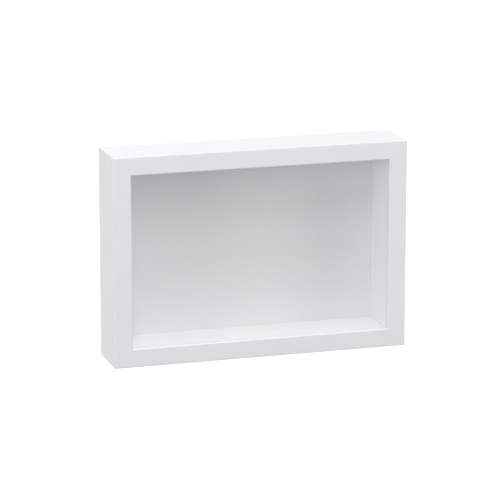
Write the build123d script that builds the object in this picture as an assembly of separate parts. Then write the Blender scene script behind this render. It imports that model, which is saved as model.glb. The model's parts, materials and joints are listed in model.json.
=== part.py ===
from build123d import *
import math
import os

# A shadow box: a deep white case with a glazed front, for showing keepsakes on a shelf or a wall.
#
# Four mitred rails make the case. Each has a lip at the front that covers the edge of the glass.
# Four spacer strips stand behind the glass, line the inside and hold the display card at the back.
# A thin back board closes the case from behind, and six turn buttons swing over its edge.
# V nails pin the mitres, two sawtooth hangers take a wall nail and four bumpers meet the wall.
#
# X runs across the width, Y from the front to the back, and Z up, all in millimetres.
# The origin is the middle of the case's underside. The buttons are drawn turned clear of the board.

# The case
WIDTH = 332.0
HEIGHT = 232.0
DEPTH = 62.0
RAIL_FACE = 20.0  # the flat white border seen from the front
LIP_COVER = 4.0  # how far the lip covers the glass
LIP_THICKNESS = 5.0
WALL = RAIL_FACE - LIP_COVER  # thickness of a rail behind its lip
FRONT_EASE = 1.0  # rounding of the rail's front edges
REAR_EASE = 0.5

FRONT = -DEPTH / 2
REAR = DEPTH / 2
POCKET_WIDTH = WIDTH - 2 * WALL
POCKET_HEIGHT = HEIGHT - 2 * WALL
MIDDLE = HEIGHT / 2

# The flat layers, from the front to the back
SHEET_PLAY = 0.5  # room between a flat sheet's edge and the rail
GLASS_THICKNESS = 2.0
CARD_THICKNESS = 1.0
BOARD_THICKNESS = 2.5
GLASS_FRONT = FRONT + LIP_THICKNESS
GLASS_REAR = GLASS_FRONT + GLASS_THICKNESS
BOARD_FRONT = REAR - BOARD_THICKNESS
CARD_FRONT = BOARD_FRONT - CARD_THICKNESS

# The spacer strips
SPACER_THICKNESS = 3.8
SPACER_EASE = 0.3
SPACER_END_PLAY = 0.2

# The finger notch in the back board's lower edge
NOTCH_WIDTH = 26.0
NOTCH_HEIGHT = 9.0
NOTCH_RADIUS = 4.0

# The turn buttons and their screws
BUTTON_THICKNESS = 1.0
BUTTON_PLAY = 0.15  # gap under the button, and again under the screw's head
BUTTON_PIVOT_RADIUS = 4.5
BUTTON_TIP_RADIUS = 3.5
BUTTON_REACH = 14.0  # from the pivot to the centre of the tip's arc
BUTTON_EDGE = 0.25
BUTTON_SPACING = 180.0  # between the two buttons of a long rail
SIDE_BUTTON_DROP = 50.0  # how far a short rail's button lies below its middle
SHANK_RADIUS = 1.4
SHANK_LENGTH = 12.0
SHANK_TIP = 2.0
RUNNING_PLAY = 0.08  # radial room of the button's hole around the shank
PILOT_PLAY = 0.03  # radial room of a hole around its screw or nail
HEAD_RADIUS = 2.8
HEAD_HEIGHT = 1.7
HEAD_EDGE = 0.9
RECESS_LENGTH = 3.0
RECESS_WIDTH = 0.8
RECESS_DEPTH = 1.1
RECESS_TURN = 23.0  # degrees that each screw is turned further than the one before

# The V nails, pressed in flush at the back of each mitre
VEE_LEG = 4.6
VEE_THICKNESS = 0.6
VEE_HALF_ANGLE = 58.0
VEE_LENGTH = 10.0
VEE_FROM_CORNER = (8.5, 16.0)  # places along the mitre, from the case's outer corner

# The sawtooth hangers and their nails
HANGER_LENGTH = 46.0
HANGER_HEIGHT = 9.0
HANGER_SHEET = 0.8
HANGER_RISE = 1.6  # how far the toothed middle stands off the rail
HANGER_TAB = 8.0  # flat length at each end
HANGER_TOOTH_PITCH = 2.6
HANGER_TOOTH_DEPTH = 1.6
HANGER_TEETH = 9
HANGER_CORNER = 1.5
NAIL_RADIUS = 0.7
NAIL_LENGTH = 10.0
NAIL_HEAD_RADIUS = 1.7
NAIL_HEAD_HEIGHT = 0.7
NAIL_HEAD_EDGE = 0.35
NAIL_FROM_END = 3.6

# The wall bumpers
BUMPER_RADIUS = 5.0
BUMPER_HEIGHT = 3.5
BUMPER_EDGE = 1.0
BUMPER_INSET = 28.0  # from the case's side to a bumper's middle

NEAR = 0.1  # how far an edge may lie from the face that it is picked by

# A piece of any side is drawn as if it lay on the lower rail, and is then turned about Y to its side.
SIDE_ANGLE = {"bottom": 0.0, "left": 90.0, "top": 180.0, "right": 270.0}


def rail_length(side):
    """The outer length of a side's rail."""
    return WIDTH if side in ("bottom", "top") else HEIGHT


def on_side(side, shape):
    """Moves a shape drawn on the lower rail, with its outer face at z = 0, to another side."""
    out_to_rail = (HEIGHT if side in ("bottom", "top") else WIDTH) / 2
    return Pos(0, 0, MIDDLE) * Rot(0, SIDE_ANGLE[side], 0) * Pos(0, 0, -out_to_rail) * shape


def facing_back(y):
    """A plane at y whose sketches have x across and z up, and whose extrusions go towards +Y."""
    return Plane(origin=(0, y, 0), x_dir=(-1, 0, 0), z_dir=(0, 1, 0))


def slab(width, height, front, thickness, bottom):
    """An upright rectangular sheet, centred across the case."""
    return Pos(0, front + thickness / 2, bottom + height / 2) * Box(width, thickness, height)


def rod_back(radius, front, rear):
    """A cylinder along Y through x = 0, z = 0."""
    return extrude(facing_back(front) * Circle(radius), rear - front)


def rail(side):
    """One mitred length of the case's moulding, with its eased edges."""
    lip_rear = FRONT + LIP_THICKNESS
    outline = Polyline(
        (FRONT, 0), (FRONT, RAIL_FACE), (lip_rear, RAIL_FACE), (lip_rear, WALL), (REAR, WALL), (REAR, 0),
        close=True,
    )
    section = make_face(outline)
    section = fillet([v for v in section.vertices() if v.X < FRONT + NEAR], FRONT_EASE)
    section = fillet([v for v in section.vertices() if v.X > REAR - NEAR and v.Y < NEAR], REAR_EASE)
    half = rail_length(side) / 2
    moulding = extrude(Plane.YZ * section, half, both=True)
    reach = 2 * RAIL_FACE  # the mitres run on past the rail's inner edge
    between_mitres = Plane.XZ * make_face(
        Polyline((-half, 0), (half, 0), (half - reach, reach), (-half + reach, reach), close=True)
    )
    return on_side(side, moulding & extrude(between_mitres, DEPTH, both=True))


def v_nail(along):
    """A V nail whose ridge stands on the mitre of the lower left corner, this far from the corner."""
    angle = math.radians(VEE_HALF_ANGLE)
    ridge = VEE_THICKNESS / 2 / math.sin(angle)
    leg = (-VEE_LEG * math.cos(angle), VEE_LEG * math.sin(angle))
    across = (VEE_THICKNESS / 2 * math.sin(angle), VEE_THICKNESS / 2 * math.cos(angle))
    inside = (leg[0] - across[0], leg[1] - across[1])
    outside = (leg[0] + across[0], leg[1] + across[1])
    outline = Polyline(
        (ridge, 0),
        outside,
        inside,
        (-ridge, 0),
        (inside[0], -inside[1]),
        (outside[0], -outside[1]),
        close=True,
    )
    blade = extrude(Plane.XY * make_face(outline), VEE_LENGTH)
    upright = Rot(0, -45, 0) * Pos(along, REAR, 0) * Rot(90, 0, 0) * blade
    return Pos(-WIDTH / 2, 0, 0) * upright


def corner_v_nails():
    """All V nails: a pair in each corner, mirrored from the lower left one."""
    nails = [v_nail(along) for along in VEE_FROM_CORNER]
    nails += [nail.mirror(Plane.YZ) for nail in nails]
    top_plane = Plane(origin=(0, 0, MIDDLE), z_dir=(0, 0, 1))
    nails += [nail.mirror(top_plane) for nail in nails]
    return nails


def spacer(side):
    """One lining strip. The long ones run through, and the short ones stand between them."""
    long = POCKET_WIDTH - 2 * SPACER_END_PLAY
    short = POCKET_HEIGHT - 2 * SPACER_THICKNESS - 2 * SPACER_END_PLAY
    length = long if side in ("bottom", "top") else short
    strip = slab(length, SPACER_THICKNESS, GLASS_REAR, CARD_FRONT - GLASS_REAR, WALL)
    top = WALL + SPACER_THICKNESS
    inner_edges = [e for e in strip.edges().filter_by(Axis.X) if e.center().Z > top - NEAR]
    return on_side(side, fillet(inner_edges, SPACER_EASE))


def sheet(front, thickness):
    """A flat sheet that lies in the case's pocket: the glass, the card or the board."""
    return slab(
        POCKET_WIDTH - 2 * SHEET_PLAY, POCKET_HEIGHT - 2 * SHEET_PLAY, front, thickness, WALL + SHEET_PLAY
    )


def back_board():
    """The back board, with a notch for a fingertip in its lower edge."""
    lower_edge = WALL + SHEET_PLAY
    notch = facing_back(BOARD_FRONT) * Pos(0, lower_edge) * RectangleRounded(
        NOTCH_WIDTH, 2 * NOTCH_HEIGHT, NOTCH_RADIUS
    )
    return sheet(BOARD_FRONT, BOARD_THICKNESS) - extrude(notch, BOARD_THICKNESS)


def turn_button():
    """A flat steel button, pivoting at x = 0, z = 0 with its tip towards +X."""
    outline = make_hull(
        (Circle(BUTTON_PIVOT_RADIUS) + Pos(BUTTON_REACH, 0) * Circle(BUTTON_TIP_RADIUS)).edges()
    )
    front = REAR + BUTTON_PLAY
    blank = extrude(facing_back(front) * Rot(0, 0, 180) * outline, BUTTON_THICKNESS)
    rim = [e for e in blank.edges() if e.center().Y > front + BUTTON_THICKNESS - NEAR]
    hole_radius = SHANK_RADIUS + RUNNING_PLAY
    return fillet(rim, BUTTON_EDGE) - rod_back(hole_radius, front, front + BUTTON_THICKNESS)


def turned_solid(outline):
    """A solid of revolution about Y, from points given as (radius, y)."""
    return revolve(Plane.XY * make_face(outline), Axis.Y)


def screw(turn):
    """A pan-head screw for a turn button, with a cross recess turned by this many degrees."""
    seat = REAR + BUTTON_THICKNESS + 2 * BUTTON_PLAY
    top = seat + HEAD_HEIGHT
    point = REAR - SHANK_LENGTH
    outline = Polyline(
        (0, point), (SHANK_RADIUS, point + SHANK_TIP), (SHANK_RADIUS, seat), (HEAD_RADIUS, seat),
        (HEAD_RADIUS, top), (0, top), close=True,
    )
    body = turned_solid(outline)
    rim = [e for e in body.edges().filter_by(GeomType.CIRCLE) if e.center().Y > top - NEAR]
    body = fillet(rim, HEAD_EDGE)
    slot = Pos(0, top - RECESS_DEPTH / 2, 0) * Box(RECESS_LENGTH, RECESS_DEPTH, RECESS_WIDTH)
    return body - Rot(0, turn, 0) * slot - Rot(0, turn + 90, 0) * slot


def pilot_hole(radius, depth):
    """The hole that a screw or nail of this radius fills."""
    return rod_back(radius + PILOT_PLAY, REAR - depth, REAR)


def button_places():
    """For each turn button: its name, its pivot's x and z, and the angle about Y that turns its tip."""
    x = BUTTON_SPACING / 2
    side_z = MIDDLE - SIDE_BUTTON_DROP
    inset = WALL / 2
    return [
        ("turn_button_top_left", -x, HEIGHT - inset, 180.0),
        ("turn_button_top_right", x, HEIGHT - inset, 0.0),
        ("turn_button_bottom_left", -x, inset, 180.0),
        ("turn_button_bottom_right", x, inset, 0.0),
        ("turn_button_left", -WIDTH / 2 + inset, side_z, 90.0),
        ("turn_button_right", WIDTH / 2 - inset, side_z, 90.0),
    ]


def hanger():
    """A sawtooth hanger drawn on the lower rail, its teeth towards the middle of the case."""
    half = HANGER_LENGTH / 2
    tab = half - HANGER_TAB
    ramp = tab - HANGER_RISE
    low = REAR
    high = REAR + HANGER_RISE
    strip = make_face(
        Polyline(
            (-half, low), (-tab, low), (-ramp, high), (ramp, high), (tab, low), (half, low),
            (half, low + HANGER_SHEET), (tab, low + HANGER_SHEET), (ramp, high + HANGER_SHEET),
            (-ramp, high + HANGER_SHEET), (-tab, low + HANGER_SHEET), (-half, low + HANGER_SHEET),
            close=True,
        )
    )
    base = (WALL - HANGER_HEIGHT) / 2
    plate = Pos(0, 0, base) * extrude(strip, HANGER_HEIGHT)
    corners = [e for e in plate.edges().filter_by(Axis.Y) if abs(e.center().X) > half - NEAR]
    plate = fillet(corners, HANGER_CORNER)
    edge = base + HANGER_HEIGHT
    gap = Plane.XZ * make_face(
        Polyline(
            (-HANGER_TOOTH_PITCH / 2, edge), (0, edge - HANGER_TOOTH_DEPTH), (HANGER_TOOTH_PITCH / 2, edge),
            close=True,
        )
    )
    cutter = Pos(0, high + HANGER_SHEET, 0) * extrude(gap, 2 * HANGER_SHEET, both=True)
    for n in range(HANGER_TEETH):
        plate -= Pos((n - (HANGER_TEETH - 1) / 2) * HANGER_TOOTH_PITCH, 0, 0) * cutter
    for x in nail_places():
        plate -= Pos(x, 0, WALL / 2) * rod_back(NAIL_RADIUS + PILOT_PLAY, REAR, REAR + HANGER_SHEET)
    return plate


def nail_places():
    """Where a hanger's nails stand along its rail."""
    return (-HANGER_LENGTH / 2 + NAIL_FROM_END, HANGER_LENGTH / 2 - NAIL_FROM_END)


def nail():
    """A round-headed nail through a hanger's tab, along Y through x = 0, z = 0."""
    seat = REAR + HANGER_SHEET
    top = seat + NAIL_HEAD_HEIGHT
    point = REAR - NAIL_LENGTH
    outline = Polyline(
        (0, point), (NAIL_RADIUS, point + 2 * NAIL_RADIUS), (NAIL_RADIUS, seat), (NAIL_HEAD_RADIUS, seat),
        (NAIL_HEAD_RADIUS, top), (0, top), close=True,
    )
    body = turned_solid(outline)
    rim = [e for e in body.edges().filter_by(GeomType.CIRCLE) if e.center().Y > top - NEAR]
    return fillet(rim, NAIL_HEAD_EDGE)


def bumper():
    """A round rubber bumper on the rail's back face, along Y through x = 0, z = 0."""
    body = rod_back(BUMPER_RADIUS, REAR, REAR + BUMPER_HEIGHT)
    rim = [e for e in body.edges() if e.center().Y > REAR + BUMPER_HEIGHT - NEAR]
    return fillet(rim, BUMPER_EDGE)


def build():
    """All pieces by name."""
    hanger_sides = {"landscape_hanger": "top", "portrait_hanger": "left"}
    buttons = button_places()
    at_pivot = [Pos(x, 0, z) for _, x, z, _ in buttons]
    at_nail = [(side, Pos(x, 0, WALL / 2)) for side in hanger_sides.values() for x in nail_places()]
    v_nails = corner_v_nails()

    holes = [place * pilot_hole(SHANK_RADIUS, SHANK_LENGTH) for place in at_pivot]
    holes += [on_side(side, place * pilot_hole(NAIL_RADIUS, NAIL_LENGTH)) for side, place in at_nail]
    rails = {side: rail(side) for side in SIDE_ANGLE}
    pieces = {f"{side}_rail": body - holes - v_nails for side, body in rails.items()}

    pieces["glass_pane"] = sheet(GLASS_FRONT, GLASS_THICKNESS)
    for side in SIDE_ANGLE:
        pieces[f"{side}_spacer"] = spacer(side)
    pieces["display_card"] = sheet(CARD_FRONT, CARD_THICKNESS)
    pieces["back_board"] = back_board()

    for (name, _, _, angle), place in zip(buttons, at_pivot):
        pieces[name] = place * Rot(0, angle, 0) * turn_button()
    pieces["turn_button_screws"] = Compound(
        children=[place * screw(n * RECESS_TURN) for n, place in enumerate(at_pivot)]
    )
    pieces["corner_v_nails"] = Compound(children=v_nails)

    for name, side in hanger_sides.items():
        pieces[name] = on_side(side, hanger())
    pieces["hanger_nails"] = Compound(children=[on_side(side, place * nail()) for side, place in at_nail])

    for across, left_right in ((-1, "left"), (1, "right")):
        for z, top_bottom in ((WALL / 2, "bottom"), (HEIGHT - WALL / 2, "top")):
            x = across * (WIDTH / 2 - BUMPER_INSET)
            pieces[f"wall_bumper_{top_bottom}_{left_right}"] = Pos(x, 0, z) * bumper()
    return pieces


def main():
    """Writes one STEP file per piece."""
    os.makedirs("parts", exist_ok=True)
    for name, shape in build().items():
        export_step(shape, f"parts/{name}.step")


main()
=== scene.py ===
"""A white shadow box: the looks of its case, lining, glass, card, back board and fittings.

Sizes are in millimetres, in the frame of the CAD model: X across, Y from the front to the back, Z up,
with the origin in the middle of the case's underside.
"""

import json
import logging
import math
from dataclasses import dataclass, field
from enum import Enum
from typing import Any, Callable, ClassVar, Iterable, Sequence

import bmesh
import bpy
from mathutils import Matrix, Vector


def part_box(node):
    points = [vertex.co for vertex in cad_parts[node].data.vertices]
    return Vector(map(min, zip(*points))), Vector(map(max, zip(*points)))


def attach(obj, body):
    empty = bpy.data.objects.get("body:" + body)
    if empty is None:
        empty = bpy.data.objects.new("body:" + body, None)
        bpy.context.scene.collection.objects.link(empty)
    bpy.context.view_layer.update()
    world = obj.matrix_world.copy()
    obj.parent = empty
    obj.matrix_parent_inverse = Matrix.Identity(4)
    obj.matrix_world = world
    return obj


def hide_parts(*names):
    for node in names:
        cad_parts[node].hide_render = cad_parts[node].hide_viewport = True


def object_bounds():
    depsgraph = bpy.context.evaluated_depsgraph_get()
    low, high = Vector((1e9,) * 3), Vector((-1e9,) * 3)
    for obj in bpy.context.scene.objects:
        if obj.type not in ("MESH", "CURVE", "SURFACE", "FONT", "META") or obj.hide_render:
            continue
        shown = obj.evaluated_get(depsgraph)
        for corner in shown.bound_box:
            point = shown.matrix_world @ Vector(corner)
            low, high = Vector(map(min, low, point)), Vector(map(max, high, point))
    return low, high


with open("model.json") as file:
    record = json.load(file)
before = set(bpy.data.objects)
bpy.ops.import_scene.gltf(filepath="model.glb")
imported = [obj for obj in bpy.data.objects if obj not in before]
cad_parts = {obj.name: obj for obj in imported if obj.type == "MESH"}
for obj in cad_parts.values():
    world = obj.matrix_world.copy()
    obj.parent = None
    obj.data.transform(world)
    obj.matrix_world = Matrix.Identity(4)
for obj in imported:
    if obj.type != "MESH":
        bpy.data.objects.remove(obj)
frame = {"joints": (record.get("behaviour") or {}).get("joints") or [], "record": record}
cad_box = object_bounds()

log = logging.getLogger("shadow_box")

MM = 0.001
Point = tuple[float, float]
Colour = tuple[float, float, float]
CASE_REAR_MM = 31.0
EVEN_GRAIN = (1.0, 1.0, 1.0)


class Side(Enum):
    """A side of the case, with the angle about Y that turns a piece of the lower side to it."""

    BOTTOM = 0.0
    LEFT = 90.0
    TOP = 180.0
    RIGHT = 270.0

    @property
    def word(self) -> str:
        """The side's name in the names of pieces."""
        return self.name.lower()

    @property
    def upright(self) -> bool:
        """Whether the side's rail stands upright."""
        return self in (Side.LEFT, Side.RIGHT)


class Slot(Enum):
    """The record's material slots."""

    LACQUER = "white_lacquer"
    LINING = "white_lining"
    GLASS = "clear_glass"
    CARD = "white_card"
    HARDBOARD = "hardboard"
    ZINC = "zinc_plate"
    STEEL = "bright_steel"
    BLUED = "blued_steel"
    RUBBER = "bumper_rubber"


# ---------------------------------------------------------------------------------------------------------
# Shader nodes
# ---------------------------------------------------------------------------------------------------------


class Wire:
    """A node's output, whose arithmetic adds Math nodes."""

    def __init__(self, bench: "Bench", socket: bpy.types.NodeSocket) -> None:
        """Wraps one output socket.

        Args:
            bench: the material that the socket is in.
            socket: the output socket.
        """
        self.bench = bench
        self.socket = socket

    def _math(self, operation: str, first: Any, second: Any) -> "Wire":
        """Adds a Math node.

        Args:
            operation: the node's operation.
            first: its first value, a wire or a number.
            second: its second value, a wire or a number.

        Returns:
            The node's result.
        """
        return self.bench.node("ShaderNodeMath", {"operation": operation}, {0: first, 1: second})

    def __add__(self, other: Any) -> "Wire":
        """The sum."""
        return self._math("ADD", self, other)

    def __radd__(self, other: Any) -> "Wire":
        """The sum, with a number in front."""
        return self._math("ADD", other, self)

    def __sub__(self, other: Any) -> "Wire":
        """The difference."""
        return self._math("SUBTRACT", self, other)

    def __rsub__(self, other: Any) -> "Wire":
        """The difference, with a number in front."""
        return self._math("SUBTRACT", other, self)

    def __mul__(self, other: Any) -> "Wire":
        """The product."""
        return self._math("MULTIPLY", self, other)

    def __rmul__(self, other: Any) -> "Wire":
        """The product, with a number in front."""
        return self._math("MULTIPLY", other, self)

    def __pow__(self, other: Any) -> "Wire":
        """The power."""
        return self._math("POWER", self, other)

    def __abs__(self) -> "Wire":
        """The value without its sign."""
        return self._math("ABSOLUTE", self, 0.0)

    def band(self, low: float, high: float) -> "Wire":
        """A soft step.

        Args:
            low: the value at which the step starts.
            high: the value at which it ends, which may be the lower one.

        Returns:
            0 before low and 1 after high, with a smooth slope between them.
        """
        return self.bench.node(
            "ShaderNodeMapRange",
            {"interpolation_type": "SMOOTHSTEP"},
            {"Value": self, "From Min": low, "From Max": high},
        )


class Bench:
    """The node tree of one material."""

    def __init__(self, name: str) -> None:
        """Makes an empty material.

        Args:
            name: the material's name.
        """
        self.material = bpy.data.materials.new(name)
        self.material.use_nodes = True
        self.tree = self.material.node_tree
        self.tree.nodes.clear()
        self._place: Wire | None = None

    def node(self, kind: str, settings: dict[str, Any], sockets: dict[Any, Any], out: Any = 0) -> Wire:
        """Adds a node.

        Args:
            kind: the node's type.
            settings: its settings, which are set first; "stops" holds a colour ramp's places and colours.
            sockets: the wires and values of its input sockets, by name or number.
            out: the output to return, by name or number.

        Returns:
            That output.
        """
        made = self.tree.nodes.new(kind)
        for key, value in settings.items():
            if key == "stops":
                ramp = made.color_ramp
                for element, (place, colour) in zip((ramp.elements[0], ramp.elements[1]), value):
                    element.position, element.color = place, (*colour, 1.0)
                for place, colour in value[2:]:
                    ramp.elements.new(place).color = (*colour, 1.0)
            else:
                setattr(made, key, value)
        for key, value in sockets.items():
            if isinstance(value, Wire):
                self.tree.links.new(value.socket, made.inputs[key])
            else:
                made.inputs[key].default_value = value
        return Wire(self, made.outputs[out])

    @property
    def place(self) -> Wire:
        """The point on the piece in the case's frame, in metres, which moves with the piece.

        Returns:
            The point, for the input of a texture or of a Separate XYZ node.
        """
        if self._place is None:
            self._place = self.node("ShaderNodeTexCoord", {}, {}, "Object")
        return self._place

    def axis(self, name: str) -> Wire:
        """One coordinate of the point on the piece, in metres: "X", "Y" or "Z"."""
        return self.node("ShaderNodeSeparateXYZ", {}, {"Vector": self.place}, name)

    def facing(self, name: str) -> Wire:
        """How far the surface faces along an axis of the case, from 0 to 1."""
        normal = self.node("ShaderNodeTexCoord", {}, {}, "Normal")
        return abs(self.node("ShaderNodeSeparateXYZ", {}, {"Vector": normal}, name))

    def stretched(self, grain: Sequence[float], turn: float = 0.0) -> Wire:
        """The point on the piece, turned about Y by degrees and then scaled by grain.

        Args:
            grain: the scale of the texture along X, Y and Z.
            turn: the turn about Y, in degrees.

        Returns:
            The point, for a texture's Vector socket.
        """
        turned = self.place
        if turn:
            turned = self.node(
                "ShaderNodeVectorRotate",
                {"rotation_type": "Y_AXIS"},
                {"Vector": self.place, "Angle": math.radians(turn)},
            )
        return self.node("ShaderNodeVectorMath", {"operation": "MULTIPLY"}, {0: turned, 1: tuple(grain)})

    def noise(
        self,
        size_mm: float,
        detail: float = 2.0,
        rough: float = 0.5,
        grain: Sequence[float] = EVEN_GRAIN,
        turn: float = 0.0,
    ) -> Wire:
        """Cloudy noise.

        Args:
            size_mm: the size of its largest features.
            detail: how many finer layers it has.
            rough: how strong the finer layers are.
            grain: its scale along each axis; a small number draws it out along that axis.
            turn: how far it is turned about Y, in degrees.

        Returns:
            Values near 0.5.
        """
        sockets = {
            "Vector": self.stretched(grain, turn),
            "Scale": 1 / (size_mm * MM),
            "Detail": detail,
            "Roughness": rough,
        }
        return self.node("ShaderNodeTexNoise", {}, sockets)

    def cells(self, size_mm: float, grain: Sequence[float] = EVEN_GRAIN, out: str = "Distance") -> Wire:
        """Voronoi cells.

        Args:
            size_mm: the size of a cell.
            grain: its scale along each axis.
            out: "Distance" from the cell's point, or the cell's own "Color".

        Returns:
            That output.
        """
        sockets = {"Vector": self.stretched(grain), "Scale": 1 / (size_mm * MM)}
        return self.node("ShaderNodeTexVoronoi", {}, sockets, out)

    def blend(self, share: Any, first: Any, second: Any) -> Wire:
        """Mixes two colours.

        Args:
            share: how much of the second there is, from 0 to 1.
            first: a colour, or a wire.
            second: a colour, or a wire.

        Returns:
            The mixed colour.
        """
        first, second = (c if isinstance(c, Wire) else (*c, 1.0) for c in (first, second))
        return self.node("ShaderNodeMix", {"data_type": "RGBA"}, {0: share, 6: first, 7: second}, 2)

    def relief(self, height: Wire, depth_mm: float, over: Wire | None = None) -> Wire:
        """A bumpy normal.

        Args:
            height: the height, from 0 to 1.
            depth_mm: how deep the whole range is.
            over: the normal of a coarser relief that this one lies on.

        Returns:
            The normal.
        """
        sockets: dict[Any, Any] = {"Strength": 1.0, "Distance": depth_mm * MM, "Height": height}
        if over is not None:
            sockets["Normal"] = over
        return self.node("ShaderNodeBump", {}, sockets)

    def principled(self, **sockets: Any) -> Wire:
        """A Principled shader.

        Args:
            sockets: its sockets, with _ for a space in their names.

        Returns:
            Its shader output.
        """
        named = {key.replace("_", " "): value for key, value in sockets.items()}
        return self.node("ShaderNodeBsdfPrincipled", {}, named)

    def done(self, shader: Wire) -> bpy.types.Material:
        """Joins the shader to the material's output, and returns the material.

        Args:
            shader: the finished shader.

        Returns:
            The material.
        """
        end = self.tree.nodes.new("ShaderNodeOutputMaterial")
        self.tree.links.new(shader.socket, end.inputs["Surface"])
        return self.material


# ---------------------------------------------------------------------------------------------------------
# Finishes
# ---------------------------------------------------------------------------------------------------------


@dataclass(frozen=True)
class Finish:
    """What a piece is made of, as it looks."""

    slot: ClassVar[Slot]
    _made: ClassVar[dict["Finish", bpy.types.Material]] = {}

    def paint(self, bench: Bench) -> Wire:
        """Adds the finish's nodes.

        Args:
            bench: the material's node tree.

        Returns:
            The shader.
        """
        raise NotImplementedError

    @property
    def name(self) -> str:
        """The material's name."""
        return self.slot.value

    def material(self) -> bpy.types.Material:
        """The finish's material, made once.

        Returns:
            The material, which is the same one at every call.
        """
        if self not in Finish._made:
            bench = Bench(self.name)
            Finish._made[self] = bench.done(self.paint(bench))
        return Finish._made[self]


@dataclass(frozen=True)
class Directional(Finish):
    """A finish that runs along its piece: one material for upright pieces and one for the others."""

    upright: bool = False

    @property
    def name(self) -> str:
        """The material's name, with the way that it runs."""
        return f"{self.slot.value}_{'upright' if self.upright else 'across'}"

    def along(self, share: float) -> tuple[float, float, float]:
        """The grain that draws a texture out along the piece, to this share of its scale."""
        return (1.0, 1.0, share) if self.upright else (share, 1.0, 1.0)


@dataclass(frozen=True)
class Lacquer(Directional):
    """Sprayed white lacquer on a wooden rail, smooth in front and thinner behind, where the grain tells."""

    slot: ClassVar[Slot] = Slot.LACQUER
    white: Colour = (0.773, 0.769, 0.788)
    thin: Colour = (0.745, 0.738, 0.73)
    dulled: float = 0.985
    satin: float = 0.42
    behind: float = 0.62
    with_grain: float = 0.06

    def paint(self, bench: Bench) -> Wire:
        """Adds the lacquer's nodes.

        Args:
            bench: the material's node tree.

        Returns:
            The shader.
        """
        rear = bench.axis("Y").band((CASE_REAR_MM - 0.6) * MM, (CASE_REAR_MM - 0.05) * MM)
        fibres = bench.noise(1.3, 3.0, 0.6, self.along(self.with_grain))
        peel = bench.noise(1.6, 1.0, 0.4)
        cloud = bench.noise(55.0, 2.0)
        nibs = bench.cells(14.0).band(0.045, 0.015)
        wear = rear * (fibres * 0.7 + cloud * 0.6).band(0.62, 0.82)
        dull = tuple(self.dulled * part for part in self.white)
        shade = bench.blend(cloud.band(0.3, 0.7) * 0.5, self.white, dull)
        colour = bench.blend(wear * 0.8, shade, self.thin)
        roughness = self.satin + (peel - 0.5) * 0.06 + rear * (self.behind - self.satin) + nibs * 0.1
        coarse = bench.relief(fibres, 0.02)
        fine = peel * (1 - rear) + (fibres * 1.6 + peel * 0.4) * rear + nibs * 0.5
        return bench.principled(
            Base_Color=colour, Roughness=roughness, Normal=bench.relief(fine, 0.03, coarse)
        )


@dataclass(frozen=True)
class Lining(Directional):
    """Matt white paint, brushed along the lining strips."""

    slot: ClassVar[Slot] = Slot.LINING
    white: Colour = (0.845, 0.842, 0.85)
    dulled: float = 0.982
    rough: float = 0.66
    with_brush: float = 0.04

    def paint(self, bench: Bench) -> Wire:
        """Adds the paint's nodes.

        Args:
            bench: the material's node tree.

        Returns:
            The shader.
        """
        brush = bench.noise(0.9, 2.0, 0.5, self.along(self.with_brush))
        tooth = bench.noise(0.5, 2.0, 0.6)
        cloud = bench.noise(40.0, 1.0)
        dull = tuple(self.dulled * part for part in self.white)
        colour = bench.blend(cloud.band(0.35, 0.7) * 0.4, self.white, dull)
        return bench.principled(
            Base_Color=colour,
            Roughness=self.rough + (brush - 0.5) * 0.12,
            Normal=bench.relief(brush * 0.7 + tooth * 0.3, 0.03),
        )


@dataclass(frozen=True)
class Card(Finish):
    """White mounting card, with a fine felt of paper fibres."""

    slot: ClassVar[Slot] = Slot.CARD
    white: Colour = (0.777, 0.773, 0.784)
    fleck: Colour = (0.73, 0.722, 0.72)
    rough: float = 0.88

    def paint(self, bench: Bench) -> Wire:
        """Adds the card's nodes.

        Args:
            bench: the material's node tree.

        Returns:
            The shader.
        """
        felt = bench.noise(0.45, 3.0, 0.65, (1.0, 1.0, 0.6))
        across = bench.noise(1.1, 2.0, 0.6, (0.22, 1.0, 1.0))
        upright = bench.noise(1.1, 2.0, 0.6, (1.0, 1.0, 0.22))
        strands = across * 0.5 + upright * 0.5
        flecks = bench.cells(3.2, (1.0, 1.0, 0.45)).band(0.09, 0.03)
        colour = bench.blend(flecks * 0.35 + strands.band(0.52, 0.66) * 0.12, self.white, self.fleck)
        return bench.principled(
            Base_Color=colour,
            Roughness=self.rough + (felt - 0.5) * 0.1,
            Normal=bench.relief(felt * 0.6 + strands * 0.4, 0.035),
        )


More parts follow.
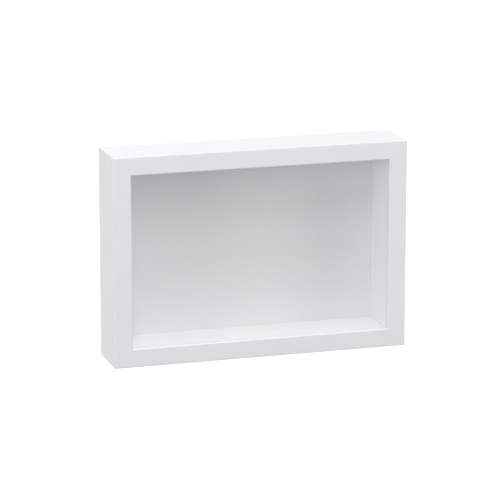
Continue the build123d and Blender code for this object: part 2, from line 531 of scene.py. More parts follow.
@dataclass(frozen=True)
class Hardboard(Finish):
    """Brown hardboard: pressed wood fibre, smooth on its faces and coarse where it was cut."""

    slot: ClassVar[Slot] = Slot.HARDBOARD
    dark: Colour = (0.105, 0.056, 0.028)
    middle: Colour = (0.225, 0.125, 0.062)
    light: Colour = (0.36, 0.225, 0.125)
    smooth: float = 0.5
    lays: tuple[float, ...] = (8.0, 41.0, 79.0, 118.0, 151.0)
    strand_grain: tuple[float, ...] = (0.2, 1.0, 1.0)
    hair_grain: tuple[float, ...] = (0.14, 1.0, 1.0)
    hair_turn: float = 17.0

    def paint(self, bench: Bench) -> Wire:
        """Adds the hardboard's nodes.

        Args:
            bench: the material's node tree.

        Returns:
            The shader.
        """
        layers = [bench.noise(0.9, 2.0, 0.6, self.strand_grain, lay) for lay in self.lays]
        strands = sum(layers) * (1 / len(self.lays))
        threads = [bench.noise(1.1, 1.0, 0.5, self.hair_grain, lay + self.hair_turn) for lay in self.lays]
        hairs = sum(thread.band(0.64, 0.74) for thread in threads)
        mottle = bench.noise(5.0, 4.0, 0.6)
        cloud = bench.noise(80.0, 2.0)
        specks = bench.cells(2.6).band(0.13, 0.05) * bench.noise(7.0, 1.0).band(0.42, 0.58)
        tone = (strands - 0.5) * 1.5 + (mottle - 0.5) * 0.35 + (cloud - 0.5) * 0.22 + 0.5
        pressed = bench.node(
            "ShaderNodeValToRGB",
            {"stops": [(0.28, self.dark), (0.74, self.light), (0.5, self.middle)]},
            {"Fac": tone},
        )
        cut = bench.facing("Y").band(0.8, 0.3)
        flecked = bench.blend(hairs * 0.3, pressed, self.light)
        dotted = bench.blend(specks * 0.6, flecked, self.dark)
        colour = bench.blend(cut * 0.55, dotted, self.dark)
        fuzz = bench.noise(0.35, 3.0, 0.7)
        return bench.principled(
            Base_Color=colour,
            Roughness=self.smooth + (strands - 0.5) * 0.35 + cut * 0.35,
            Normal=bench.relief(strands * 0.55 + mottle * 0.1 + fuzz * (0.15 + cut * 0.6), 0.09),
        )


@dataclass(frozen=True)
class Zinc(Finish):
    """Zinc-plated sheet steel, with faint spangles and the marks of handling."""

    slot: ClassVar[Slot] = Slot.ZINC
    cold: Colour = (0.41, 0.43, 0.46)
    warm: Colour = (0.52, 0.51, 0.475)
    dulled: float = 0.72
    rough: float = 0.34

    def paint(self, bench: Bench) -> Wire:
        """Adds the plating's nodes.

        Args:
            bench: the material's node tree.

        Returns:
            The shader.
        """
        spangle = bench.node("ShaderNodeRGBToBW", {}, {"Color": bench.cells(1.7, out="Color")})
        cloud = bench.noise(6.0, 2.0)
        scratches = bench.noise(0.35, 1.0, 0.5, (0.05, 1.0, 1.0)).band(0.66, 0.74)
        dull = cloud.band(0.52, 0.72)
        colour = bench.blend(cloud * 0.6 + spangle * 0.4, self.cold, self.warm)
        greyed = bench.blend(dull * 0.35, colour, tuple(self.dulled * part for part in self.cold))
        return bench.principled(
            Base_Color=greyed,
            Metallic=1.0,
            Roughness=self.rough + spangle * 0.1 + dull * 0.16 - scratches * 0.12,
            Normal=bench.relief(spangle * 0.3 + scratches * 0.7, 0.008),
        )


@dataclass(frozen=True)
class Steel(Finish):
    """Bright nickel-plated steel, for screws and nails, with random grime patches and painted shade on the
    heads near their seats.
    """

    slot: ClassVar[Slot] = Slot.STEEL
    bright: Colour = (0.6, 0.59, 0.57)
    grime: Colour = (0.17, 0.16, 0.15)
    rough: float = 0.2
    grimy_mm: float = 1.2
    clean_mm: float = 2.1

    def paint(self, bench: Bench) -> Wire:
        """Adds the steel's nodes.

        Args:
            bench: the material's node tree.

        Returns:
            The shader.
        """
        cloud = bench.noise(1.6, 3.0, 0.6)
        buff = bench.noise(0.25, 1.0, 0.5, (1.0, 0.15, 1.0))
        # painted shade: the heads turn darker towards their seats on the button or hanger, where shade falls
        # between the parts
        low = bench.axis("Y").band((CASE_REAR_MM + self.clean_mm) * MM, (CASE_REAR_MM + self.grimy_mm) * MM)
        # the dark mask mixes random grime patches with that painted shade near the seat, both broken up by
        # cloudy noise
        grime = (cloud.band(0.5, 0.75) * 0.5 + low * 0.5) * cloud.band(0.35, 0.7)
        return bench.principled(
            Base_Color=bench.blend(grime * 0.5, self.bright, self.grime),
            Metallic=1.0,
            Roughness=self.rough + grime * 0.3 + (buff - 0.5) * 0.1,
            Normal=bench.relief(buff, 0.004),
        )


@dataclass(frozen=True)
class Blued(Finish):
    """Blued spring steel, rubbed bright in spots."""

    slot: ClassVar[Slot] = Slot.BLUED
    blue: Colour = (0.12, 0.135, 0.165)
    brown: Colour = (0.13, 0.095, 0.07)
    bare: Colour = (0.42, 0.42, 0.43)
    rough: float = 0.42

    def paint(self, bench: Bench) -> Wire:
        """Adds the blued steel's nodes.

        Args:
            bench: the material's node tree.

        Returns:
            The shader.
        """
        cloud = bench.noise(2.4, 3.0, 0.6)
        rub = bench.noise(0.6, 2.0, 0.6).band(0.56, 0.7)
        tempered = bench.blend(cloud.band(0.42, 0.62), self.blue, self.brown)
        return bench.principled(
            Base_Color=bench.blend(rub * 0.5, tempered, self.bare),
            Metallic=1.0,
            Roughness=self.rough + (cloud - 0.5) * 0.2,
            Normal=bench.relief(cloud, 0.01),
        )


@dataclass(frozen=True)
class Rubber(Finish):
    """Black rubber with a matt skin and a little dust."""

    slot: ClassVar[Slot] = Slot.RUBBER
    black: Colour = (0.036, 0.036, 0.038)
    dust: Colour = (0.12, 0.118, 0.112)
    rough: float = 0.6

    def paint(self, bench: Bench) -> Wire:
        """Adds the rubber's nodes.

        Args:
            bench: the material's node tree.

        Returns:
            The shader.
        """
        skin = bench.noise(0.3, 2.0, 0.6)
        dust = bench.noise(2.2, 3.0, 0.7).band(0.5, 0.75)
        return bench.principled(
            Base_Color=bench.blend(dust * 0.45, self.black, self.dust),
            Roughness=self.rough + dust * 0.2,
            Normal=bench.relief(skin, 0.02),
        )


@dataclass(frozen=True)
class ClearGlass(Finish):
    """Coated clear glass: light goes straight through, except where it is looked at very flat."""

    slot: ClassVar[Slot] = Slot.GLASS
    body: Colour = (0.9985, 0.9988, 0.9986)
    mirror: Colour = (0.95, 0.97, 0.96)
    head_on: float = 0.008
    skimming: float = 0.9
    coating: float = 7.0
    rough: float = 0.03

    def paint(self, bench: Bench) -> Wire:
        """Adds the glass's nodes.

        Args:
            bench: the material's node tree.

        Returns:
            The shader.
        """
        flat = bench.node("ShaderNodeLayerWeight", {}, {"Blend": 0.5}, "Facing")
        broad = bench.noise(48.0, 2.0, 0.6, (1.0, 1.0, 0.5)).band(0.55, 0.8)
        wipe = broad * bench.noise(3.0, 2.0).band(0.4, 0.7)
        mirrored = self.head_on + flat**self.coating * self.skimming + wipe * 0.004
        through = bench.node("ShaderNodeBsdfTransparent", {}, {"Color": (*self.body, 1.0)})
        gloss = bench.principled(
            Base_Color=(*self.mirror, 1.0), Metallic=1.0, Roughness=self.rough + wipe * 0.12
        )
        return bench.node("ShaderNodeMixShader", {}, {0: mirrored, 1: through, 2: gloss})


# ---------------------------------------------------------------------------------------------------------
# Meshes
# ---------------------------------------------------------------------------------------------------------


def rounded(corners: Iterable[tuple[float, float, float]], steps: int = 4) -> list[Point]:
    """Rounds the corners of a closed outline.

    Args:
        corners: the corners in order, each with its radius.
        steps: how many straight pieces stand for each arc.

    Returns:
        The outline's points in order.
    """
    given = list(corners)
    made: list[Point] = []
    for n, (*corner, radius) in enumerate(given):
        if radius <= 0:
            made.append(tuple(corner))
            continue
        here = Vector(corner)
        backward = (Vector(given[n - 1][:2]) - here).normalized()
        onward = (Vector(given[(n + 1) % len(given)][:2]) - here).normalized()
        half = backward.angle(onward) / 2
        centre = here + (backward + onward).normalized() * radius / math.sin(half)
        start, end = (here + way * radius / math.tan(half) - centre for way in (backward, onward))
        first = math.atan2(start.y, start.x)
        sweep = (math.atan2(end.y, end.x) - first + math.pi) % (2 * math.pi) - math.pi
        for k in range(steps + 1):
            angle = first + sweep * k / steps
            made.append((centre.x + radius * math.cos(angle), centre.y + radius * math.sin(angle)))
    return made


def circle(radius: float, count: int, x: float = 0.0, z: float = 0.0) -> list[Point]:
    """A ring of points round (x, z)."""
    turns = (2 * math.pi * k / count for k in range(count))
    return [(x + radius * math.cos(turn), z + radius * math.sin(turn)) for turn in turns]


def smooth_step(value: float, low: float, high: float) -> float:
    """0 before low and 1 after high, with a smooth slope between them."""
    share = min(1.0, max(0.0, (value - low) / (high - low)))
    return share * share * (3 - 2 * share)


def between(first: Sequence[Point], second: Sequence[Point], share: float) -> list[Point]:
    """A ring of points that lies a share of the way from one ring to another."""
    return [(a + (c - a) * share, b + (d - b) * share) for (a, b), (c, d) in zip(first, second)]


class Workpiece:
    """A mesh in the making, in millimetres."""

    def __init__(self) -> None:
        """Starts with nothing."""
        self.bm = bmesh.new()

    def loft(self, rings: Iterable[Iterable[Sequence[float]]], around: bool = False) -> "Workpiece":
        """Joins rings of points into a closed skin.

        Args:
            rings: rings with the same number of points each, or single points where the skin comes to one.
            around: whether the last ring is joined to the first; if not, both ends are closed.

        Returns:
            This workpiece.
        """
        rows = [[self.bm.verts.new(point) for point in ring] for ring in rings]
        pairs = list(zip(rows, rows[1:])) + ([(rows[-1], rows[0])] if around else [])
        for low, high in pairs:
            for k in range(max(len(low), len(high))):
                here = [row[k % len(row)] for row in (low, high)]
                there = [row[(k + 1) % len(row)] for row in (high, low)]
                corners = list(dict.fromkeys(here + there))
                if len(corners) > 2:
                    self.bm.faces.new(corners)
        if not around:
            for row in (rows[0], rows[-1]):
                if len(row) > 2:
                    self.bm.faces.new(row)
        return self

    def turn(
        self,
        profile: Iterable[Point],
        count: int = 32,
        thread: Callable[[float, float], float] | None = None,
    ) -> "Workpiece":
        """Turns a profile about Y.

        Args:
            profile: points (radius, y) from one end on the axis to the other.
            count: the number of points round the axis.
            thread: adds to the radius, by y and the turn from 0 to 1.

        Returns:
            This workpiece.
        """
        rings = []
        for radius, y in profile:
            if radius == 0:
                rings.append([(0.0, y, 0.0)])
                continue
            ring = []
            for k in range(count):
                cut = radius + (thread(y, k / count) if thread else 0.0)
                angle = 2 * math.pi * k / count
                ring.append((cut * math.cos(angle), y, cut * math.sin(angle)))
            rings.append(ring)
        return self.loft(rings)

    def plate(
        self,
        outline: Sequence[Point],
        front: float,
        rear: float,
        ease: float,
        holes: Sequence[Sequence[Point]] = (),
    ) -> "Workpiece":
        """A flat plate across Y.

        Args:
            outline: its outline as points (x, z).
            front: its front face's y.
            rear: its rear face's y.
            ease: how far the edges of its faces are rounded.
            holes: the outlines of its holes.

        Returns:
            This workpiece.
        """
        edges = []
        for loop in (outline, *holes):
            row = [self.bm.verts.new((x, front, z)) for x, z in loop]
            edges += [self.bm.edges.new((row[k - 1], row[k])) for k in range(len(row))]
        filled = bmesh.ops.triangle_fill(self.bm, use_beauty=True, edges=edges)
        faces = [g for g in filled["geom"] if isinstance(g, bmesh.types.BMFace)]
        raised = bmesh.ops.extrude_face_region(self.bm, geom=faces)
        moved = [g for g in raised["geom"] if isinstance(g, bmesh.types.BMVert)]
        bmesh.ops.translate(self.bm, verts=moved, vec=(0, rear - front, 0))
        bmesh.ops.recalc_face_normals(self.bm, faces=self.bm.faces[:])
        rims = [e for e in self.bm.edges if sum(abs(f.normal.y) > 0.9 for f in e.link_faces) == 1]
        bmesh.ops.bevel(
            self.bm, geom=rims, offset=ease, offset_type="OFFSET", segments=2, profile=0.5, affect="EDGES"
        )
        return self

    def slice(self, places: Iterable[float]) -> "Workpiece":
        """Adds edges across X at these places, so that the mesh can be bent there.

        Args:
            places: where the edges go, as values of X.

        Returns:
            This workpiece.
        """
        for x in places:
            everything = self.bm.verts[:] + self.bm.edges[:] + self.bm.faces[:]
            bmesh.ops.bisect_plane(self.bm, geom=everything, plane_co=(x, 0, 0), plane_no=(1, 0, 0))
        return self

    def press(self, shape: Callable[[Vector], Vector]) -> "Workpiece":
        """Moves each point to where shape says.

        Args:
            shape: gives a point's new place from its old one.

        Returns:
            This workpiece.
        """
        for v in self.bm.verts:
            v.co = shape(v.co.copy())
        return self

    def repeat(self, places: Iterable[Matrix]) -> "Workpiece":
        """Puts a copy of what is here at each place, instead of it.

        Args:
            places: the places, each as a matrix.

        Returns:
            This workpiece.
        """
        pattern = bpy.data.meshes.new("pattern")
        self.bm.to_mesh(pattern)
        self.bm.clear()
        for place in places:
            start = len(self.bm.verts)
            self.bm.from_mesh(pattern)
            self.bm.verts.ensure_lookup_table()
            bmesh.ops.transform(self.bm, matrix=place, verts=self.bm.verts[start:])
        bpy.data.meshes.remove(pattern)
        return self

    def _trial(self, name: str) -> bpy.types.Object:
        """A passing object with this mesh, for a modifier.

        Args:
            name: a name for it.

        Returns:
            The object, which is in the scene until it is removed.
        """
        bmesh.ops.recalc_face_normals(self.bm, faces=self.bm.faces[:])
        mesh = bpy.data.meshes.new(name)
        self.bm.to_mesh(mesh)
        made = bpy.data.objects.new(name, mesh)
        bpy.context.scene.collection.objects.link(made)
        return made

    def cut(self, tool: "Workpiece") -> "Workpiece":
        """Takes another workpiece's shape out of this one.

        Args:
            tool: the shape to take out.

        Returns:
            This workpiece.
        """
        block, cutter = self._trial("block"), tool._trial("cutter")
        change = block.modifiers.new("cut", "BOOLEAN")
        change.operation, change.solver, change.object = "DIFFERENCE", "EXACT", cutter
        graph = bpy.context.evaluated_depsgraph_get()
        result = bpy.data.meshes.new_from_object(block.evaluated_get(graph))
        self.bm.clear()
        self.bm.from_mesh(result)
        tool.bm.free()
        for made in (block, cutter):
            mesh = made.data
            bpy.data.objects.remove(made)
            bpy.data.meshes.remove(mesh)
        bpy.data.meshes.remove(result)
        return self

    def piece(self, name: str, node: str, finish: Finish, smooth_below: float = 38.0) -> bpy.types.Object:
        """Finishes the mesh and puts it in the model in place of a CAD node.

        Args:
            name: the piece's name.
            node: the CAD node that it stands for.
            finish: what it is made of.
            smooth_below: edges that turn by less than this many degrees are shaded smooth.

        Returns:
            The piece.
        """
        bmesh.ops.recalc_face_normals(self.bm, faces=self.bm.faces[:])
        if self.bm.calc_volume(signed=True) < 0:
            bmesh.ops.reverse_faces(self.bm, faces=self.bm.faces[:])
        self.bm.transform(Matrix.Scale(MM, 4))
        for face in self.bm.faces:
            face.smooth = True
        for edge in self.bm.edges:
            edge.smooth = len(edge.link_faces) == 2 and edge.calc_face_angle(0.0) < math.radians(smooth_below)
        mesh = bpy.data.meshes.new(name)
        self.bm.to_mesh(mesh)
        self.bm.free()
        mesh.materials.append(finish.material())
        made = bpy.data.objects.new(name, mesh)
        bpy.context.scene.collection.objects.link(made)
        made.modifiers.new("face_normals", "WEIGHTED_NORMAL").keep_sharp = True
        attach(made, body_of(node))
        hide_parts(node)
        log.info("%s stands for %s on %s: %d faces", name, node, body_of(node), len(mesh.polygons))
        return made


def body_of(node: str) -> str:
    """The body that a CAD node is part of."""
    bodies = frame["record"]["behaviour"]["bodies"]
    return next(body for body, nodes in bodies.items() if node in nodes)


def box_mm(node: str) -> tuple[Vector, Vector]:
    """A CAD node's lowest and highest corners, in millimetres."""
    low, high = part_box(node)
    return low / MM, high / MM


def about_y(degrees: float) -> Matrix:
    """A turn about Y."""
    return Matrix.Rotation(math.radians(degrees), 4, "Y")


# ---------------------------------------------------------------------------------------------------------
# The case
# ---------------------------------------------------------------------------------------------------------


@dataclass
class Case:
    """The four mitred rails, and the V nails that pin their corners."""

    width: float = 332.0
    height: float = 232.0
    front: float = -31.0
    rear: float = 31.0
    rail_face: float = 20.0
    wall: float = 16.0
    lip: float = 5.0
    front_ease: float = 1.0
    rear_ease: float = 0.5
    arris: float = 0.15
    mitre_gap: float = 0.01
    vee_leg: float = 4.6
    vee_thickness: float = 0.6
    vee_half_angle: float = 58.0
    vee_length: float = 10.0
    vee_proud: float = 0.04
    vee_ease: float = 0.05
    vee_from_corner: tuple[float, ...] = (8.5, 16.0)

    def length(self, side: Side) -> float:
        """The outer length of a side's rail."""
        return self.height if side.upright else self.width

    def at(self, side: Side) -> Matrix:
        """Takes a piece drawn on the lower side, with the case's outer face at z = 0, to a side.

        Args:
            side: the side.

        Returns:
            The matrix that takes it there.
        """
        out = (self.width if side.upright else self.height) / 2
        middle = Matrix.Translation((0, 0, self.height / 2))
        return middle @ about_y(side.value) @ Matrix.Translation((0, 0, -out))

    def moulding(self, profile: Sequence[Point], length: float, mitred: bool) -> Workpiece:
        """A length of moulding on the lower side.

        Args:
            profile: points (y, z) of its section.
            length: its length at z = 0.
            mitred: whether its ends are cut at 45 degrees; if not, they are square, with eased edges.

        Returns:
            The workpiece.
        """
        made = Workpiece()
        if mitred:
            ends = [[(way * (length / 2 - z - self.mitre_gap), y, z) for y, z in profile] for way in (-1, 1)]
            return made.loft(ends)
        points = [Vector(point) for point in profile]
        middle = sum(points, Vector((0, 0))) / len(points)
        eased = [point + (middle - point).normalized() * self.arris for point in points]
        face = [(length / 2, y, z) for y, z in eased]
        shoulder = [(length / 2 - self.arris, y, z) for y, z in points]
        left = [[(-x, y, z) for x, y, z in ring] for ring in (face, shoulder)]
        return made.loft([*left, shoulder, face])

    def rail(self, side: Side) -> bpy.types.Object:
        """Makes one rail.

        Args:
            side: its side.

        Returns:
            The rail.
        """
        lip_rear = self.front + self.lip
        section = rounded(
            [
                (self.front, 0, self.front_ease),
                (self.front, self.rail_face, self.front_ease),
                (lip_rear, self.rail_face, self.arris),
                (lip_rear, self.wall, 0),
                (self.rear, self.wall, self.arris),
                (self.rear, 0, self.rear_ease),
            ]
        )
        made = self.moulding(section, self.length(side), mitred=True)
        made.bm.transform(self.at(side))
        return made.piece(f"{side.word}_rail_moulding", f"{side.word}_rail", Lacquer(upright=side.upright))

    def v_nails(self) -> bpy.types.Object:
        """Makes all V nails: a pair in each corner.

        Returns:
            The eight nails, as one piece.
        """
        angle = math.radians(self.vee_half_angle)
        half = self.vee_thickness / 2
        leg = Vector((-math.cos(angle), math.sin(angle))) * self.vee_leg
        across = Vector((math.sin(angle), math.cos(angle))) * half
        ridge = half / math.sin(angle)
        outer, inner = leg + across, leg - across
        upper = [(ridge, 0), tuple(outer), tuple(inner), (-ridge, 0)]
        outline = upper + [(inner.x, -inner.y), (outer.x, -outer.y)]
        front, rear = self.rear - self.vee_length, self.rear + self.vee_proud
        nail = Workpiece().plate(outline, front, rear, self.vee_ease)
        lower_left = Matrix.Translation((-self.width / 2, 0, 0)) @ about_y(-45)
        places = [lower_left @ Matrix.Translation((along, 0, 0)) for along in self.vee_from_corner]
        across_x = Matrix.Scale(-1, 4, (1, 0, 0))
        places += [across_x @ place for place in places]
        middle = Matrix.Translation((0, 0, self.height / 2))
        over = middle @ Matrix.Scale(-1, 4, (0, 0, 1)) @ middle.inverted()
        places += [over @ place for place in places]
        return nail.repeat(places).piece("v_nails", "corner_v_nails", Blued())

    def build(self) -> None:
        """Makes the rails and the V nails."""
        for side in Side:
            self.rail(side)
        self.v_nails()


# ---------------------------------------------------------------------------------------------------------
# What the case holds
# ---------------------------------------------------------------------------------------------------------


@dataclass
class LiningStrips:
    """The spacer strips that line the case behind the glass."""

    case: Case
    ease: float = 0.3
    arris: float = 0.1

    def strip(self, side: Side) -> bpy.types.Object:
        """Makes one strip.

        Args:
            side: its side.

        Returns:
            The strip.
        """
        low, high = box_mm(f"{side.word}_spacer")
        along, across = (2, 0) if side.upright else (0, 2)
        thickness = high[across] - low[across]
        section = rounded(
            [
                (low.y, self.case.wall, self.arris),
                (low.y, self.case.wall + thickness, self.ease),
                (high.y, self.case.wall + thickness, self.ease),
                (high.y, self.case.wall, self.arris),
            ]
        )
        made = self.case.moulding(section, high[along] - low[along], mitred=False)
        made.bm.transform(self.case.at(side))
        return made.piece(f"{side.word}_lining_strip", f"{side.word}_spacer", Lining(upright=side.upright))

    def build(self) -> None:
        """Makes the four strips."""
        for side in Side:
            self.strip(side)


@dataclass
class Sheets:
    """The glass, the display card and the back board."""

    corner: float = 0.6
    glass_ease: float = 0.25
    card_ease: float = 0.12
    board_ease: float = 0.2
    notch_width: float = 26.0
    notch_height: float = 9.0
    notch_radius: float = 4.0
    notch_mouth: float = 0.8

    def outline(self, node: str) -> tuple[Vector, Vector, list[tuple[float, float, float]]]:
        """A sheet's box, and its four corners with their radius, from the lower left one up.

        Args:
            node: the CAD node of the sheet.

        Returns:
            The box's lowest corner, its highest corner, and the four corners of the outline.
        """
        low, high = box_mm(node)
        places = [(low.x, low.z), (low.x, high.z), (high.x, high.z), (high.x, low.z)]
        return low, high, [(x, z, self.corner) for x, z in places]

    def flat(self, name: str, node: str, finish: Finish, ease: float) -> bpy.types.Object:
        """Makes a plain sheet.

        Args:
            name: the piece's name.
            node: the CAD node that it stands for.
            finish: what it is made of.
            ease: how far its edges are rounded.

        Returns:
            The sheet.
        """
        low, high, corners = self.outline(node)
        return Workpiece().plate(rounded(corners), low.y, high.y, ease).piece(name, node, finish)

    def board(self) -> bpy.types.Object:
        """Makes the back board, with a notch for a fingertip in its lower edge.

        Returns:
            The back board.
        """
        low, high, corners = self.outline("back_board")
        half = self.notch_width / 2
        top = low.z + self.notch_height
        notch = [
            (half, low.z, self.notch_mouth),
            (half, top, self.notch_radius),
            (-half, top, self.notch_radius),
            (-half, low.z, self.notch_mouth),
        ]
        outline = rounded([*corners, *notch], steps=8)
        made = Workpiece().plate(outline, low.y, high.y, self.board_ease)
        return made.piece("hardboard_back", "back_board", Hardboard())

    def build(self) -> None:
        """Makes the three sheets."""
        self.flat("glass_sheet", "glass_pane", ClearGlass(), self.glass_ease)
        self.flat("card_sheet", "display_card", Card(), self.card_ease)
        self.board()


# ---------------------------------------------------------------------------------------------------------
# The fittings behind
# ---------------------------------------------------------------------------------------------------------


@dataclass
class TurnButtons:
    """The six pressed turn buttons, each on its pan-head screw."""

    rear: float = CASE_REAR_MM
    play: float = 0.15
    thickness: float = 1.0
    pivot_radius: float = 4.5
    tip_radius: float = 3.5
    reach: float = 14.0
    hole: float = 1.48
    rim: float = 0.28
    burr: float = 0.12
    bore_ease: float = 0.15
    underside_inset: float = 0.6
    rings_across: int = 14
    rim_steps: int = 4
    rib: float = 0.32
    rib_half_width: float = 1.5
    rib_crown: float = 0.35
    rib_run_on: float = 0.6
    dish: float = 0.06
    head_radius: float = 2.8
    head_height: float = 1.7
    shank_radius: float = 1.4
    shank_length: float = 12.0
    shank_steps: int = 40
    point_taper: float = 2.4
    point_share: float = 0.12
    thread_pitch: float = 1.2
    thread_depth: float = 0.3
    recess_reach: float = 1.5
    recess_half_width: float = 0.4
    recess_depth: float = 1.1
    recess_taper: float = 0.55
    recess_above: float = 0.25
    recess_spread: float = 1.1
    screw_turn: float = 23.0
    tips: dict[str, float] = field(
        default_factory=lambda: {
            "turn_button_top_left": 180.0,
            "turn_button_top_right": 0.0,
            "turn_button_bottom_left": 180.0,
            "turn_button_bottom_right": 0.0,
            "turn_button_left": 90.0,
            "turn_button_right": 90.0,
        }
    )

    def pivot(self, button: str) -> Matrix:
        """Takes a piece drawn about x = 0, z = 0 to a button's pivot.

        Args:
            button: the button's CAD node.

        Returns:
            The matrix that takes it there.
        """
        joint = next(j for j in frame["joints"] if j["child"] == button)
        x, _, z = (c / MM for c in joint["pos_m"])
        return Matrix.Translation((x, 0, z))

    def outline(self, inset: float, spacing: float = 0.6) -> list[Point]:
        """The button's outline.

        Args:
            inset: how far inside its edge the line runs.
            spacing: about how far apart the points are.

        Returns:
            Points at the same places for any inset.
        """
        lean = math.acos((self.pivot_radius - self.tip_radius) / self.reach)
        straight = self.reach * math.sin(lean)
        ends = (
            (lean, 2 * (math.pi - lean), self.pivot_radius, 0.0),
            (-lean, 2 * lean, self.tip_radius, self.reach),
        )
        made: list[Point] = []
        for start, sweep, radius, x in ends:
            count = max(8, round(radius * sweep / spacing))
            for k in range(count + 1):
                angle = start + sweep * k / count
                made.append((x + (radius - inset) * math.cos(angle), (radius - inset) * math.sin(angle)))
            corner, out = made[-1], (math.cos(start + sweep), math.sin(start + sweep))
            run = round(straight / spacing)
            along = (-out[1], out[0])
            made += [
                (corner[0] + along[0] * straight * k / run, corner[1] + along[1] * straight * k / run)
                for k in range(1, run)
            ]
        return made

    def height(self, x: float, z: float) -> float:
        """How far the sheet is pressed up at a point: a rib along the arm, and a dish at the screw.

        Args:
            x: the point's distance from the pivot along the button.
            z: its distance across the button.

        Returns:
            The height in millimetres, which is less than 0 in the dish.
        """
        end = self.reach + self.rib_run_on
        start = self.pivot_radius - 0.2
        nearest = min(end, max(start, x))
        away = math.hypot(x - nearest, z)
        rib = 1 - smooth_step(away, self.rib_half_width * self.rib_crown, self.rib_half_width)
        dish = 1 - smooth_step(math.hypot(x, z), self.head_radius - 0.6, self.head_radius + 0.4)
        return self.rib * rib - self.dish * dish

    def blank(self) -> Workpiece:
        """One pressed button, its pivot at x = 0, z = 0 and its tip towards +X.

        Returns:
            The button, before it is turned to its place.
        """
        low = self.rear + self.play
        high = low + self.thickness
        edge = self.outline(0.0)
        rings: list[list[Vector]] = []

        def bore(out: float) -> list[Point]:
            """The hole's edge, wider by out, with a point for each of the outline's."""
            radius = self.hole + out
            return [(radius * x / math.hypot(x, z), radius * z / math.hypot(x, z)) for x, z in edge]

        def ring(points: Iterable[Point], y: float, pressed: float) -> None:
            """Adds one ring at y, lifted by its share of the pressing."""
            rings.append([Vector((x, y + pressed * self.height(x, z), z)) for x, z in points])

        inner, outer, under = bore(self.burr), self.outline(self.rim), self.outline(self.underside_inset)
        shares = [k / self.rings_across for k in range(self.rings_across + 1)]
        ring(bore(0.0), low + 0.05, 0.0)
        ring(bore(0.0), high - self.bore_ease, 0.0)
        for share in shares:
            ring(between(inner, outer, share), high, 1.0)
        for k in range(1, self.rim_steps + 1):
            angle = math.pi / 2 * k / self.rim_steps
            ring(self.outline(self.rim * (1 - math.sin(angle))), high - self.rim * (1 - math.cos(angle)), 0.0)
        ring(edge, low + self.burr, 0.0)
        ring(self.outline(self.burr), low, 0.0)
        for share in reversed(shares):
            ring(between(inner, under, share), low, 1.0)
        return Workpiece().loft(rings, around=True)

    def button(self, node: str) -> bpy.types.Object:
        """Makes one button.

        Args:
            node: the CAD node that it stands for.

        Returns:
            The button.
        """
        made = self.blank()
        made.bm.transform(self.pivot(node) @ about_y(self.tips[node]))
        return made.piece(f"{node}_pressing", node, Zinc())

    def screws(self) -> bpy.types.Object:
        """Makes the six screws, each turned a little further than the one before.

        Returns:
            The six screws, as one piece.
        """
        seat = self.rear + self.thickness + 2 * self.play
        top = seat + self.head_height
        point = self.rear - self.shank_length
        run = (seat - point) / self.shank_steps
        shank = [
            (self.shank_radius * min(1.0, self.point_share + run * k / self.point_taper), point + run * k)
            for k in range(self.shank_steps + 1)
        ]
        dome = ((1.0, 0.7), (0.975, 1.0), (0.88, 1.32), (0.7, 1.56), (0.45, self.head_height - 0.03))
        head = [(self.head_radius - 0.08, seat), (self.head_radius, seat + 0.08)]
        head += [(self.head_radius * share, seat + rise) for share, rise in dome]
        head += [(self.head_radius * 0.2, top), (0.0, top)]

        def thread(y: float, turn: float) -> float:
            """The thread's cut at a place on the shank, which fades out below the head.

            Args:
                y: the place along the shank.
                turn: how far round it is, from 0 to 1.

            Returns:
                What the cut adds to the radius, 0 or less.
            """
            wave = ((y - point) / self.thread_pitch - turn) % 1.0
            fade = smooth_step(self.rear - 1.0 - y, 0.0, 1.0) * smooth_step(y, point, point + 1.5)
            return -self.thread_depth * fade * (1 - abs(2 * wave - 1)) if y < self.rear else 0.0

        screw = Workpiece().turn([(0.0, point - 0.15), *shank, *head], 28, thread)
        half = self.recess_half_width
        arm = ((self.recess_reach, -half), (self.recess_reach, half), (half, half))
        cross = []
        for quarter in range(4):
            cos, sin = (round(f(math.pi / 2 * quarter)) for f in (math.cos, math.sin))
            cross += [(x * cos - z * sin, x * sin + z * cos) for x, z in arm]
        bottom = [(x * self.recess_taper, top - self.recess_depth, z * self.recess_taper) for x, z in cross]
        above = [(x * self.recess_spread, top + self.recess_above, z * self.recess_spread) for x, z in cross]
        screw.cut(Workpiece().loft([bottom, above]))
        places = [self.pivot(node) @ about_y(n * self.screw_turn) for n, node in enumerate(self.tips)]
        return screw.repeat(places).piece("pan_head_screws", "turn_button_screws", Steel())

    def build(self) -> None:
        """Makes the buttons and their screws."""
        for node in self.tips:
            self.button(node)
        self.screws()


